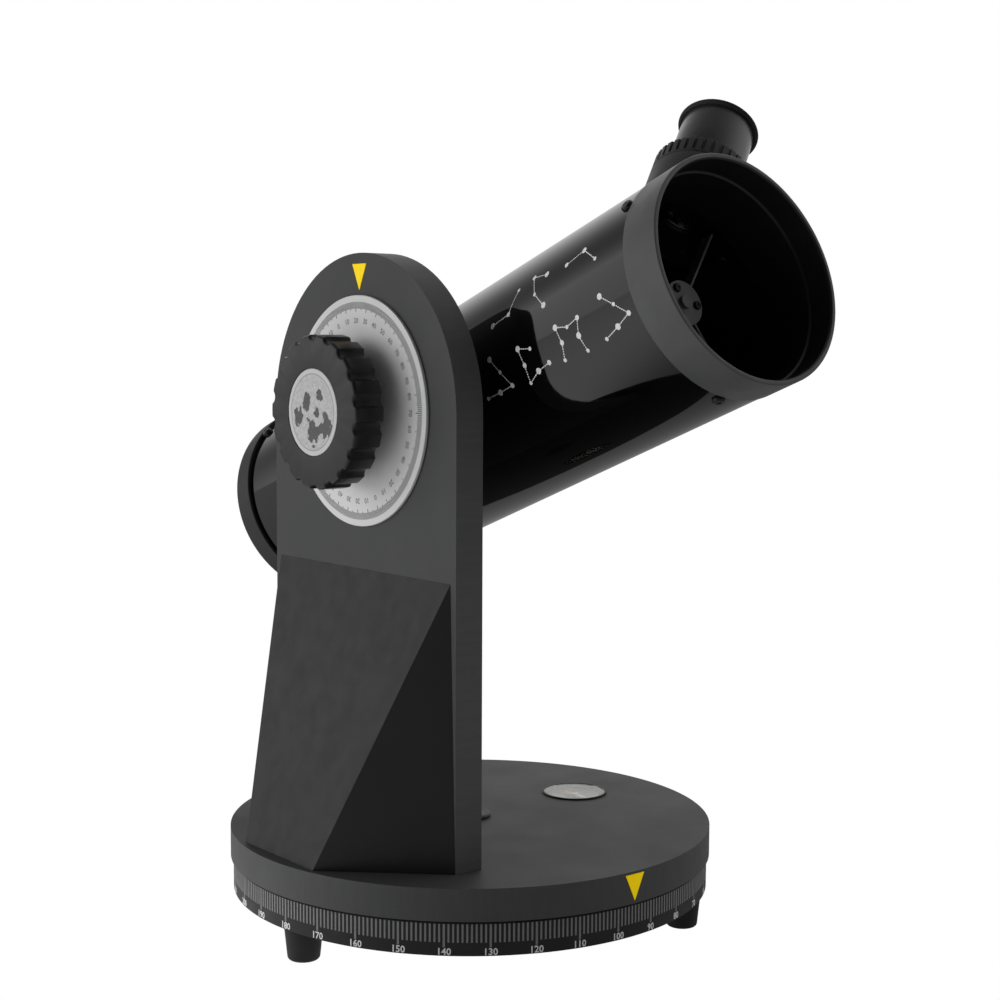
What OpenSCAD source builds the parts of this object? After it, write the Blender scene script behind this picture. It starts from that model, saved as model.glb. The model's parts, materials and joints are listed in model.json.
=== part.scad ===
// Tabletop Newtonian reflector telescope on a one-armed rocker base.
// Frame: origin on the table at the centre of the base, +Z up, lengths in millimetres.
// The arm stands on the -X side, the altitude axis runs along X, the open end of the tube points to -Y.

/* [Base] */
// Radius of the turning upper board
base_r = 120; // [110:1:130]
// Radius of the fixed lower board, over its printed scale
ground_r = 118.6; // [112:0.2:119]
// Thickness of every board
board_t = 15; // [12:0.5:18]
// Air gap between the two round boards
board_gap = 1; // [0.6:0.1:2]
// Height of the rubber feet
foot_h = 16; // [10:1:24]

/* [Arm] */
// Outer face of the arm, measured from the azimuth axis
arm_outer = 67.2; // [66:0.2:70]
// Width of the arm and of its round top
arm_w = 148; // [136:1:160]
// Altitude axis above the upper board
axis_above_board = 205.8; // [195:0.2:230]
// Height of the brace on the outer face of the arm
brace_h = 131.2; // [100:0.2:135]
// How far the brace stands out at the bottom
brace_depth = 46.7; // [30:0.1:48]
// Width of the foot edge of the brace
brace_foot_w = 57.8; // [40:0.2:60]

/* [Tube] */
// Outer radius of the tube
tube_r = 52.1; // [51:0.1:54]
// Wall of the tube
tube_wall = 1.2; // [0.8:0.1:1.4]
// Distance of the tube's axis from the azimuth axis
tube_x = 13.7; // [13:0.1:16]
// Altitude of the tube as drawn, in degrees above the horizon
rest_altitude = 20.7; // [0:0.1:90]
// Radius of the primary mirror
mirror_r = 38; // [36:0.5:38]
// Focal length of the primary mirror
focal_length = 350; // [300:10:400]

/* [Focuser] */
// Distance of the eyepiece axis in front of the altitude axis
eyepiece_axial = 120; // [110:1:120]
// Lean of the eyepiece axis from the top of the tube away from the arm, in degrees
eyepiece_lean = 38; // [20:1:60]
// Radius of the ribbed focusing ring
ring_r = 23.9; // [23.2:0.1:25]
// Ribs round the focusing ring
ring_ribs = 36; // [24:1:40]

/* [Knob and dials] */
// Radius of the altitude setting circle
dial_r = 54.3; // [45:0.1:56]
// Radius of the altitude clamp knob
knob_r = 35.9; // [30:0.1:38]
// Hollows round the knob
knob_flutes = 18; // [14:1:20]
// Radius of the compass
compass_r = 17; // [14:0.5:19]

/* [Hidden] */
$fn = 96;
eps = 0.02;             // clearance of parts that sit tight in each other
run = 0.06;             // radial clearance of a shaft that turns or slides

// Heights of the base
ground_z = foot_h;
ground_top = ground_z + board_t;
turn_z = ground_top + board_gap;
turn_top = turn_z + board_t;
altitude_z = turn_top + axis_above_board;

// Base fittings
band_t = 0.4;
foot_places = [66, 186, 306];
foot_place_r = 108;
foot_top_r = 9;
foot_bottom_r = 7.6;
stud_r = 2.5;
pad_r = 9;
pad_angles = [30, 150, 270];
pad_place_r = 92;
pad_sink = 2;
stud_grip = 12;
bolt_r = 4;
bolt_head_r = 7;
bolt_head_h = 5.3;
bolt_sink_r = 10;
bolt_sink = 7;
bush_r = 9;
hub_sink_r = 9.4;
hub_sink = 8;
hub_cap_r = 10.2;
hub_cap_h = 1.9;
hub_cap_edge = 0.8;
nut_corner_r = 7.5;

// Arm and its fittings
arm_inner = arm_outer - board_t;
arm_half = arm_w / 2;
wood_screw_r = 2.2;
wood_screw_head_r = 4.2;
arm_screw_l = 40;
brace_wall_screw_l = board_t + 8;
brace_floor_screw_l = 27;
rib_y = 30;
brace_top_inset = 4;
brace_wall = 3;
boss_r = 5.5;
boss_h = 14;
marker_w = 11.2;
marker_h = 12.2;
marker_t = 0.35;
axle_r = 5;
axle_bush_r = 9;

// Places of the tube's parts along its axis, from the altitude axis
collar_front = 182.3;
collar_rear = 162.3;
collar_r = tube_r + 0.5;
collar_step = 169.5;
spigot_wall = 2;
spigot_end = 142.1;
cell_rear = -168.3;
cell_front = -155;
cell_r = tube_r + 1.6;
cell_wall = 2.5;
cell_spigot_end = -146.5;
tube_front = collar_rear - eps;
tube_rear = cell_rear + cell_wall + 0.5;
tube_inner = tube_r - tube_wall;
spigot_r = tube_inner - 0.05;
front_screw_z = 158.7;
rear_screw_z = -151.8;
front_screw_angles = [-46, 74, -166];
rear_screw_angles = [-43, 77, -163];
wall_screw_r = 1.5;
focus_height = 99;      // focal plane above the tube's axis, along the eyepiece axis
mirror_face = eyepiece_axial - (focal_length - focus_height);
mirror_t = 10;
cup_wall = 5.6;
clip_angles = [0, 120, 240];
clip_place_r = mirror_r + 3.4;
clip_screw_r = 1;
vane_angles = [41, 161, 281];
vane_t = 1;
vane_depth = 6;
hub_r = 10.5;
hub_front = 142;
hub_rear = 136;
hub_boss_r = 3;
hub_boss_h = 2;
diagonal_r = 10;
diagonal_t = 3;
collimation_angles = [20, 140, 260];
collimation_place_r = 7.3;
collimation_screw_r = 1.2;
collimation_screw_l = 9.5;

// Clamp between tube and arm
bracket_wall = 4.5;
bracket_half_w = 24;
bracket_half_l = 36;
bracket_screw_r = 1.8;
bracket_screw_spread = 16;
bracket_screw_z = 27;
bracket_screw_seat = 0.12;  // the flat head meets the hollow wall at its edge
neck_r = 23;
washer_t = 0.85;
bracket_face = arm_inner - 0.05 - washer_t;
axle_head_r = 8;
axle_head_t = 5;
axle_head_x = 39.6;
axle_end = 88;
dial_t = 1.5;
dial_front = arm_outer + 0.3 + dial_t;
knob_rear = 78.5;
knob_front = 94;
knob_edge = 2;
knob_hub_r = 15;
knob_hub_rear = dial_front + 0.05;
label_r = 20.2;
label_t = 0.7;
insert_r = 8;
flute_r = 3.6;
flute_depth = 1.9;

// Heights along the eyepiece axis, from the tube's axis
turret_top = 86;
turret_r = 23.9;
turret_bottom = 28;
turret_flange_r = 28.4;
turret_flange_t = 1.6;
draw_r = 18.5;
draw_bore = 15.95;
draw_bottom = 56;
draw_top = 94.5;
ring_bottom = 86.3;
ring_top = 95.5;
lip_r = 21.2;
lip_neck_r = 20.4;
lip_bottom = 89;
lip_top = 91.5;
key_h = 70;
key_r = 1.5;
key_end = 23.7;
focuser_screw_r = 1.5;
focuser_screw_place_r = 21.2;
focuser_screw_angle = 35;
focuser_screw_h = 46.6;
focuser_opening_r = 17;
rib_depth = 0.9;
rib_w = 1.5;
barrel_r = 15.875;
barrel_bottom = 72.5;
barrel_top = 100;
eyepiece_r = 17.9;
eyepiece_bottom = draw_top + 0.1;
eyepiece_top = 125;
eyecup_r = 19.9;
eyecup_top = 127.2;
lens_r = 11.9;
eye_opening_r = 9;
field_lens_bottom = barrel_top + 3.2;
field_lens_top = barrel_top + 5.2;
eye_lens_bottom = eyepiece_top - 5.6;
eye_lens_top = eyepiece_top - 3.7;
field_curves = [60, 40];
eye_curves = [35, 200];
spacer_wall = 1;
retainer_wall = 1.6;

// Compass
compass_x = 72;
compass_y = 2;
compass_sink = 4;
compass_rise = 0.9;
compass_wall = 0.9;

// ---- Helpers ----

// Children drawn with +Z along the tube towards its mouth and +Y towards the top of the tube.
module on_tube() {
    translate([tube_x, 0, altitude_z])
        rotate([90 - rest_altitude, 0, 0])
            children();
}

// Children drawn with +Z along the eyepiece axis, outwards from the tube's axis.
module on_eyepiece() {
    on_tube()
        translate([0, 0, eyepiece_axial])
            rotate([0, 0, -eyepiece_lean])
                rotate([-90, 0, 0])
                    children();
}

// Children drawn with +Z along the altitude axis, outwards through the arm; +Y is up.
module on_axle() {
    translate([0, 0, altitude_z])
        rotate([90, 0, -90])
            children();
}

// Children drawn with +Z radially out of the tube at an angle from its top and a place along it.
module on_tube_wall(angle, z) {
    translate([0, 0, z])
        rotate([0, 0, -angle])
            rotate([-90, 0, 0])
                children();
}

// A copy of the children at each angle round Z.
module around(angles) {
    for (a = angles)
        rotate([0, 0, a])
            children();
}

// A tube between two heights.
module sleeve(outer, inner, bottom, top) {
    translate([0, 0, bottom])
        difference() {
            cylinder(r = outer, h = top - bottom);
            translate([0, 0, -1])
                cylinder(r = inner, h = top - bottom + 2);
        }
}

// A plain rod between two heights.
module rod(radius, bottom, top) {
    translate([0, 0, bottom])
        cylinder(r = radius, h = top - bottom);
}

// A cross slot cut down from height zero.
module cross_slot(size, depth) {
    for (a = [0, 90])
        rotate([0, 0, a])
            translate([-size / 2, -size / 8, -depth])
                cube([size, size / 4, depth + 1]);
}

// A countersunk wood screw: head face at height zero, shank downwards.
module wood_screw(length) {
    difference() {
        union() {
            translate([0, 0, -wood_screw_head_r + wood_screw_r])
                cylinder(r1 = wood_screw_r, r2 = wood_screw_head_r, h = wood_screw_head_r - wood_screw_r);
            rod(wood_screw_r, -length, -wood_screw_head_r + wood_screw_r);
        }
        cross_slot(4, 1.2);
    }
}

// The hole for that screw.
module wood_screw_hole(length) {
    translate([0, 0, -wood_screw_head_r + wood_screw_r])
        cylinder(r1 = wood_screw_r + eps, r2 = wood_screw_head_r + eps, h = wood_screw_head_r - wood_screw_r + 0.01);
    rod(wood_screw_r + eps, -length - 0.5, -wood_screw_head_r + wood_screw_r + 0.01);
}

// A pan head screw: underside of the head at height zero, shank downwards.
module pan_screw(shank_r, head_r, head_h, length) {
    difference() {
        union() {
            rod(shank_r, -length, 0.01);
            rotate_extrude()
                polygon([
                    [0, 0],
                    [head_r, 0],
                    for (a = [0 : 15 : 75])
                        [head_r * (1 - 0.35 * (1 - cos(a))), head_h * (0.3 + 0.7 * sin(a))],
                    [0, head_h]
                ]);
        }
        translate([0, 0, head_h])
            cross_slot(head_r, head_h * 0.5);
    }
}

// Half thickness of a spherical cap of a given radius of curvature, at a distance from its axis.
function sag(curvature, r) = curvature - sqrt(curvature * curvature - r * r);

// How far a lens face of that curvature stands above its edge where a ring of a given wall meets it.
function ring_rise(curvature, wall) = sag(curvature, lens_r) - sag(curvature, lens_r - wall);

// A lens round Z: curved faces bulge by the given radii of curvature, edges lie between two heights.
module lens(radius, bottom, top, curve_bottom, curve_top) {
    steps = 12;
    rotate_extrude()
        polygon([
            for (i = [0 : steps])
                let (r = radius * i / steps)
                    [r, bottom + sag(curve_bottom, r) - sag(curve_bottom, radius)],
            for (i = [steps : -1 : 0])
                let (r = radius * i / steps)
                    [r, top - sag(curve_top, r) + sag(curve_top, radius)]
        ]);
}

// ---- Fixed lower board ----

module foot_centres() {
    around(foot_places)
        translate([foot_place_r, 0, 0])
            children();
}

module pad_centres() {
    around(pad_angles)
        translate([pad_place_r, 0, 0])
            children();
}

module ground_board() {
    color([0.13, 0.13, 0.14])
        difference() {
            rod(ground_r - band_t, ground_z, ground_top);
            foot_centres()
                rod(stud_r + eps, ground_z - 1, ground_z + stud_grip + 0.2);
            pad_centres()
                rod(pad_r + eps, ground_top - pad_sink, ground_top + 1);
            rod(bolt_r + eps, ground_z - 1, ground_top + 1);
            rod(bolt_sink_r, ground_z - 1, ground_z + bolt_sink);
        }
}

module azimuth_scale_band() {
    color([0.30, 0.30, 0.31])
        sleeve(ground_r, ground_r - band_t + eps, ground_z + 0.2, ground_top - 0.2);
}

module rubber_feet() {
    color([0.08, 0.08, 0.08])
        foot_centres()
            difference() {
                rotate_extrude()
                    polygon([
                        [0, 0],
                        [foot_bottom_r - 1, 0],
                        [foot_bottom_r, 1],
                        [foot_top_r, foot_h - 1.5],
                        [foot_top_r - 0.5, foot_h],
                        [0, foot_h]
                    ]);
                rod(stud_r + eps, foot_h / 2, foot_h + 1);
            }
}

module foot_studs() {
    color([0.70, 0.70, 0.72])
        foot_centres()
            rod(stud_r, foot_h / 2 + 0.05, foot_h + stud_grip);
}

module glide_pads() {
    color([0.92, 0.92, 0.90])
        pad_centres()
            rod(pad_r, ground_top - pad_sink + 0.01, turn_z - 0.05);
}

module azimuth_bolt() {
    head_top = ground_z + bolt_sink;
    color([0.70, 0.70, 0.72])
        union() {
            translate([0, 0, head_top - bolt_head_h])
                cylinder(r = bolt_head_r, h = bolt_head_h, $fn = 6);
            rod(bolt_r, head_top - 0.01, turn_top + 0.3);
        }
}

module azimuth_washer() {
    color([0.70, 0.70, 0.72])
        sleeve(nut_corner_r + 1.2, bolt_r + eps, turn_top - hub_sink + 0.05, turn_top - hub_sink + 1.6);
}

module azimuth_lock_nut() {
    nut_bottom = turn_top - hub_sink + 1.65;
    color([0.75, 0.75, 0.77])
        difference() {
            translate([0, 0, nut_bottom])
                cylinder(r = nut_corner_r, h = 6, $fn = 6);
            rod(bolt_r + eps, nut_bottom - 1, nut_bottom + 7);
        }
}

module pivot_cap() {
    cap_bottom = turn_top + 0.1;
    color([0.06, 0.06, 0.06])
        difference() {
            rotate_extrude()
                polygon([
                    [0, cap_bottom],
                    [hub_cap_r, cap_bottom],
                    [hub_cap_r, cap_bottom + hub_cap_edge],
                    for (a = [15 : 15 : 75])
                        [hub_cap_r - 2 + 2 * cos(a), cap_bottom + hub_cap_edge + (hub_cap_h - hub_cap_edge) * sin(a)],
                    [0, cap_bottom + hub_cap_h]
                ]);
            rod(nut_corner_r + 0.3, cap_bottom - 1, cap_bottom + 0.9);
        }
}

// ---- Turning upper board and arm ----

// Screws that come up through the upper board: three into the arm, two into the brace.
module arm_screw_places() {
    for (y = [-50, 0, 50])
        translate([-arm_outer + board_t / 2, y, turn_z])
            rotate([180, 0, 0])
                children();
}

module brace_floor_places() {
    for (y = [-18, 18])
        translate([-arm_outer - 20, y, turn_z])
            rotate([180, 0, 0])
                children();
}

// Screws through the arm from its tube side into the back of the brace.
module brace_wall_places() {
    for (y = [-rib_y, rib_y])
        for (z = [22, 76])
            translate([-arm_inner, y, turn_top + z])
                rotate([0, 90, 0])
                    children();
}

module turntable_board() {
    color([0.15, 0.15, 0.16])
        difference() {
            rod(base_r, turn_z, turn_top);
            rod(bush_r + eps, turn_z - 1, turn_top + 1);
            rod(hub_sink_r, turn_top - hub_sink, turn_top + 1);
            translate([compass_x, compass_y, 0])
                rod(compass_r + eps, turn_top - compass_sink, turn_top + 1);
            arm_screw_places()
                wood_screw_hole(arm_screw_l);
            brace_floor_places()
                wood_screw_hole(brace_floor_screw_l);
        }
}

module azimuth_bush() {
    color([0.90, 0.90, 0.88])
        sleeve(bush_r, bolt_r + run, turn_z, turn_top - hub_sink);
}

// Downward pointing triangle as a flat outline, apex at the origin.
module marker_outline() {
    polygon([
        [0, 0],
        [marker_w / 2, marker_h],
        [-marker_w / 2, marker_h]
    ]);
}

module base_pointer() {
    color([1.0, 0.84, 0.0])
        intersection() {
            sleeve(base_r + marker_t, base_r + eps, turn_z, turn_top);
            translate([0, -base_r + 5, turn_z + 1.6])
                rotate([90, 0, 0])
                    linear_extrude(height = 10)
                        marker_outline();
        }
}

module arm_panel() {
    color([0.16, 0.16, 0.17])
        difference() {
            translate([-arm_outer, 0, 0])
                rotate([90, 0, 90])
                    linear_extrude(height = board_t)
                        union() {
                            translate([-arm_half, turn_top])
                                square([arm_w, axis_above_board]);
                            translate([0, altitude_z])
                                circle(r = arm_half);
                        }
            on_axle()
                rod(axle_bush_r + eps, arm_inner - 1, arm_outer + 1);
            arm_screw_places()
                wood_screw_hole(arm_screw_l);
            brace_wall_places()
                wood_screw_hole(brace_wall_screw_l);
        }
}

module arm_screws() {
    color([0.72, 0.72, 0.74])
        arm_screw_places()
            wood_screw(arm_screw_l);
}

// Wedge with its back on the plane x = 0, standing out to -X and narrowing to the foot edge.
module wedge(back_half, top_half, foot_half, depth, height) {
    polyhedron(
        points = [
            [0, -back_half, 0], [0, back_half, 0],
            [-depth, foot_half, 0], [-depth, -foot_half, 0],
            [0, -top_half, height], [0, top_half, height]
        ],
        faces = [
            [0, 1, 2, 3],
            [0, 4, 5, 1],
            [3, 2, 5, 4],
            [0, 3, 4],
            [1, 5, 2]
        ]
    );
}

module brace_outside() {
    wedge(arm_half, arm_half - brace_top_inset, brace_foot_w / 2, brace_depth, brace_h);
}

// The hollow of the brace: the same wedge moved in by the wall on its sloping faces and its floor.
module brace_inside() {
    side_run = arm_half - brace_foot_w / 2;
    slope_wall = brace_wall / cos(atan(brace_depth / brace_h));
    side_wall = brace_wall / cos(atan(side_run / brace_depth));
    depth = brace_depth - slope_wall;
    translate([0.01, 0, brace_wall])
        wedge(
            arm_half - side_wall,
            arm_half - brace_top_inset - side_wall,
            arm_half - side_wall - side_run * depth / brace_depth,
            depth,
            brace_h * depth / brace_depth - brace_wall
        );
}

module arm_brace() {
    color([0.14, 0.14, 0.15])
        difference() {
            union() {
                translate([-arm_outer, 0, turn_top])
                    difference() {
                        brace_outside();
                        brace_inside();
                    }
                intersection() {
                    translate([-arm_outer, 0, turn_top])
                        brace_outside();
                    union() {
                        for (y = [-rib_y, rib_y])
                            translate([-arm_outer - brace_depth, y - brace_wall / 2, turn_top])
                                cube([brace_depth, brace_wall, brace_h]);
                        brace_wall_places()
                            rod(boss_r, -board_t - boss_h, -board_t);
                        brace_floor_places()
                            rod(boss_r, -board_t - boss_h, -board_t);
                    }
                }
            }
            brace_wall_places()
                wood_screw_hole(brace_wall_screw_l);
            brace_floor_places()
                wood_screw_hole(brace_floor_screw_l);
        }
}

module brace_screws() {
    color([0.72, 0.72, 0.74])
        union() {
            brace_wall_places()
                wood_screw(brace_wall_screw_l);
            brace_floor_places()
                wood_screw(brace_floor_screw_l);
        }
}

module arm_pointer() {
    color([1.0, 0.84, 0.0])
        translate([-arm_outer - marker_t, 0, altitude_z + dial_r + 2.4])
            rotate([90, 0, 90])
                linear_extrude(height = marker_t - eps)
                    marker_outline();
}

module altitude_bush() {
    color([0.90, 0.90, 0.88])
        on_axle()
            sleeve(axle_bush_r, axle_r + run, arm_inner, arm_outer);
}

// ---- Compass let into the upper board ----

module on_compass() {
    translate([compass_x, compass_y, turn_top])
        children();
}

module compass_case() {
    color([0.12, 0.12, 0.13])
        on_compass()
            difference() {
                rod(compass_r, -compass_sink + 0.01, compass_rise);
                rod(compass_r - compass_wall, -compass_sink + 0.8, compass_rise + 1);
            }
}

module compass_card() {
    color([0.80, 0.81, 0.82])
        on_compass()
            sleeve(compass_r - compass_wall - 0.05, 0.9 + eps, -compass_sink + 0.82, -compass_sink + 1.2);
}

module compass_pivot() {
    color([0.80, 0.62, 0.25])
        on_compass()
            rotate_extrude()
                polygon([
                    [0, -compass_sink + 0.81],
                    [0.9, -compass_sink + 0.81],
                    [0.9, -1.9],
                    [0.5, -1.9],
                    [0.5, -1.2],
                    [0, -0.7]
                ]);
}

module compass_lens() {
    color([0.85, 0.90, 0.92, 0.35])
        on_compass()
            rod(compass_r - compass_wall - 0.05, -0.1, 0.7);
}

module compass_needle() {
    needle_l = 12.5;
    color([0.75, 0.10, 0.10])
        on_compass()
            difference() {
                union() {
                    translate([0, 0, -1.7])
                        linear_extrude(height = 0.3)
                            polygon([[0, needle_l], [1.9, 0], [0, -needle_l], [-1.9, 0]]);
                    rod(2, -1.8, -1.0);
                }
                rod(0.5 + run, -3, 1);
            }
}

// ---- Tube, collar and mirrors ----

module tube_shell() {
    color([0.03, 0.03, 0.035])
        on_tube()
            difference() {
                sleeve(tube_r, tube_inner, tube_rear, tube_front);
                on_tube_wall(eyepiece_lean, eyepiece_axial)
                    rod(focuser_opening_r, tube_r / 2, tube_r + 10);
                wall_screw_holes(front_screw_angles, front_screw_z);
                wall_screw_holes(rear_screw_angles, rear_screw_z);
                bracket_screw_places()
                    rod(bracket_screw_r + eps, -10, 10);
                focuser_screw_places()
                    rod(focuser_screw_r + eps, -10, 10);
            }
}

module front_collar() {
    color([0.17, 0.17, 0.18])
        on_tube()
            difference() {
                rotate_extrude()
                    polygon([
                        [spigot_r, spigot_end],
                        [spigot_r, collar_rear],
                        [collar_r, collar_rear],
                        [collar_r, collar_front - 0.8],
                        [collar_r - 0.25, collar_front - 0.2],
                        [collar_r - 0.8, collar_front],
                        [collar_r - 1.9, collar_front],
                        [collar_r - 2.5, collar_front - 0.6],
                        [collar_r - 2.7, collar_step + 0.8],
                        [spigot_r - spigot_wall, collar_step],
                        [spigot_r - spigot_wall, spigot_end]
                    ]);
                wall_screw_holes(front_screw_angles, front_screw_z);
            }
}

module wall_screws(angles, z) {
    for (a = angles)
        on_tube_wall(a, z)
            translate([0, 0, tube_r])
                pan_screw(wall_screw_r, 2.9, 1.7, 5);
}

module wall_screw_holes(angles, z) {
    for (a = angles)
        on_tube_wall(a, z)
            rod(wall_screw_r + eps, tube_r - 7, tube_r + 7);
}

module front_collar_screws() {
    color([0.10, 0.10, 0.10])
        on_tube()
            wall_screws(front_screw_angles, front_screw_z);
}

module rear_cell_screws() {
    color([0.10, 0.10, 0.10])
        on_tube()
            wall_screws(rear_screw_angles, rear_screw_z);
}

module collimation_places() {
    around(collimation_angles)
        translate([0, collimation_place_r, hub_front])
            children();
}

module spider() {
    ring_front = spigot_end - 0.05;
    color([0.05, 0.05, 0.05])
        on_tube()
            difference() {
                union() {
                    rod(hub_r, hub_rear, hub_front);
                    rod(hub_boss_r, hub_front - 1, hub_front + hub_boss_h);
                    sleeve(spigot_r, spigot_r - 1.8, ring_front - vane_depth, ring_front);
                    for (a = vane_angles)
                        rotate([0, 0, -a])
                            translate([-vane_t / 2, hub_r - 1, ring_front - vane_depth])
                                cube([vane_t, spigot_r - hub_r, vane_depth]);
                }
                collimation_places()
                    rod(collimation_screw_r + eps, hub_rear - hub_front - 1, 1);
            }
}

// The holder and the diagonal mirror share one 45 degree plane through the eyepiece axis.
module on_diagonal() {
    on_tube()
        translate([0, 0, eyepiece_axial])
            rotate([0, 0, -eyepiece_lean])
                children();
}

module secondary_holder() {
    color([0.05, 0.05, 0.05])
        difference() {
            on_diagonal()
                intersection() {
                    rod(hub_r, -20, hub_rear - eyepiece_axial - 0.6);
                    rotate([45, 0, 0])
                        translate([-20, -40, diagonal_t + 0.05])
                            cube([40, 80, 60]);
                }
            on_tube()
                collimation_places()
                    rod(collimation_screw_r + eps, -collimation_screw_l - 0.5, 1);
        }
}

module secondary_mirror() {
    color([0.80, 0.82, 0.85])
        on_diagonal()
            intersection() {
                rod(diagonal_r, -30, 30);
                rotate([45, 0, 0])
                    translate([-20, -30, 0])
                        cube([40, 60, diagonal_t]);
            }
}

module collimation_screws() {
    color([0.10, 0.10, 0.10])
        on_tube()
            collimation_places()
                pan_screw(collimation_screw_r, 2, 1.4, collimation_screw_l);
}

module rear_cell() {
    seat = mirror_face - mirror_t - 1;
    cup_r = mirror_r + 0.3;
    color([0.15, 0.15, 0.16])
        on_tube()
            difference() {
                rotate_extrude()
                    polygon([
                        [0, cell_rear + 0.8],
                        [cell_r - 9, cell_rear + 0.8],
                        [cell_r - 9.8, cell_rear],
                        [cell_r - 1.2, cell_rear],
                        [cell_r - 0.35, cell_rear + 0.35],
                        [cell_r, cell_rear + 1.2],
                        [cell_r, cell_front - 0.3],
                        [cell_r - 0.3, cell_front],
                        [tube_r + eps, cell_front],
                        [tube_r + eps, cell_rear + cell_wall],
                        [spigot_r, cell_rear + cell_wall],
                        [spigot_r, cell_spigot_end],
                        [spigot_r - spigot_wall, cell_spigot_end],
                        [spigot_r - spigot_wall, cell_rear + cell_wall],
                        [cup_r + cup_wall, cell_rear + cell_wall],
                        [cup_r + cup_wall, mirror_face + 0.1],
                        [cup_r, mirror_face + 0.1],
                        [cup_r, seat],
                        [cup_r - 9, seat],
                        [cup_r - 9, cell_rear + cell_wall + 0.8],
                        [0, cell_rear + cell_wall + 0.8]
                    ]);
                wall_screw_holes(rear_screw_angles, rear_screw_z);
                clip_places()
                    rod(clip_screw_r + eps, -9, 1);
            }
}

module clip_places() {
    around(clip_angles)
        translate([0, clip_place_r, mirror_face + 0.1])
            children();
}

module primary_mirror() {
    steps = 12;
    back = mirror_face - mirror_t;
    color([0.75, 0.78, 0.82])
        on_tube()
            rotate_extrude()
                polygon([
                    [0, back],
                    [mirror_r - 0.5, back],
                    [mirror_r, back + 0.5],
                    for (i = [steps : -1 : 0])
                        let (r = mirror_r * i / steps)
                            [r, mirror_face - sag(2 * focal_length, mirror_r) + sag(2 * focal_length, r)]
                ]);
}

module mirror_pads() {
    color([0.35, 0.24, 0.15])
        on_tube()
            around(clip_angles)
                translate([0, mirror_r - 4.2, 0])
                    rod(3, mirror_face - mirror_t - 0.99, mirror_face - mirror_t - 0.01);
}

module mirror_clips() {
    color([0.30, 0.30, 0.31])
        on_tube()
            clip_places()
                difference() {
                    translate([-4, -6, 0.01])
                        cube([8, 8.2, 1]);
                    rod(clip_screw_r + eps, -1, 2);
                }
}

module mirror_clip_screws() {
    color([0.72, 0.72, 0.74])
        on_tube()
            clip_places()
                translate([0, 0, 1.02])
                    pan_screw(clip_screw_r, 1.9, 1.2, 8);
}

// ---- Bracket, axle, dial and knob ----

module bracket_screw_places() {
    for (a = [-bracket_screw_spread, bracket_screw_spread])
        for (z = [-bracket_screw_z, bracket_screw_z])
            on_tube_wall(-90 + a, z)
                translate([0, 0, tube_inner - bracket_screw_seat])
                    rotate([180, 0, 0])
                        children();
}

module tube_bracket() {
    neck_end = tube_x + bracket_face;
    color([0.10, 0.10, 0.11])
        difference() {
            on_tube()
                difference() {
                    union() {
                        intersection() {
                            rod(tube_r + bracket_wall, -bracket_half_l, bracket_half_l);
                            translate([-tube_r - 10, -bracket_half_w, -bracket_half_l])
                                cube([30, 2 * bracket_half_w, 2 * bracket_half_l]);
                        }
                        translate([-neck_end, 0, 0])
                            rotate([0, 90, 0])
                                cylinder(r = neck_r, h = neck_end - tube_r + 8);
                    }
                    rod(tube_r + eps, -bracket_half_l - 1, bracket_half_l + 1);
                    bracket_screw_places()
                        rod(bracket_screw_r + eps, -tube_wall - 8, 2);
                }
            on_axle() {
                rod(axle_r + eps, 30, 60);
                translate([0, 0, 30])
                    rotate([0, 0, 30])
                        cylinder(r = axle_head_r + eps, h = axle_head_x + axle_head_t - 30 + eps, $fn = 6);
            }
        }
}

module bracket_screws() {
    color([0.70, 0.70, 0.72])
        on_tube()
            bracket_screw_places()
                pan_screw(bracket_screw_r, 3, 1.6, tube_wall + 4);
}

module altitude_axle() {
    color([0.72, 0.72, 0.74])
        on_axle() {
            translate([0, 0, axle_head_x])
                rotate([0, 0, 30])
                    cylinder(r = axle_head_r, h = axle_head_t, $fn = 6);
            rod(axle_r, axle_head_x + axle_head_t - 0.01, axle_end);
        }
}

module friction_washer() {
    color([0.85, 0.85, 0.82])
        on_axle()
            sleeve(neck_r - 1, axle_r + eps, bracket_face + 0.01, bracket_face + washer_t);
}

module setting_circle() {
    color([0.84, 0.84, 0.84])
        on_axle()
            difference() {
                sleeve(dial_r, axle_r + eps, dial_front - dial_t, dial_front);
                difference() {
                    rod(dial_r + 1, dial_front - 0.35, dial_front + 1);
                    translate([0, 0, dial_front - 0.4])
                        cylinder(r1 = dial_r, r2 = dial_r - 0.4, h = 0.41);
                }
            }
}

module altitude_knob() {
    color([0.14, 0.14, 0.15])
        on_axle()
            difference() {
                union() {
                    rotate_extrude()
                        polygon([
                            [0, knob_rear],
                            [knob_r - 1, knob_rear],
                            [knob_r, knob_rear + 1],
                            for (a = [0 : 15 : 90])
                                [knob_r - knob_edge * (1 - cos(a)), knob_front - knob_edge * (1 - sin(a))],
                            [0, knob_front]
                        ]);
                    rod(knob_hub_r, knob_hub_rear, knob_rear + 1);
                }
                for (i = [0 : knob_flutes - 1])
                    rotate([0, 0, 360 * (i + 0.5) / knob_flutes])
                        translate([knob_r + flute_r - flute_depth, 0, 0])
                            rod(flute_r, knob_rear - 1, knob_front + 1);
                rod(insert_r + eps, knob_hub_rear - 1, axle_end + 1.5);
                rod(label_r + 0.2, knob_front - label_t - 0.15, knob_front + 1);
            }
}

module knob_insert() {
    color([0.78, 0.60, 0.25])
        on_axle()
            sleeve(insert_r, axle_r + run, knob_hub_rear, axle_end + 1.4);
}

module knob_label() {
    color([0.80, 0.80, 0.80])
        on_axle()
            rod(label_r, knob_front - label_t - 0.1, knob_front - 0.1);
}

// ---- Focuser ----

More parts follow.
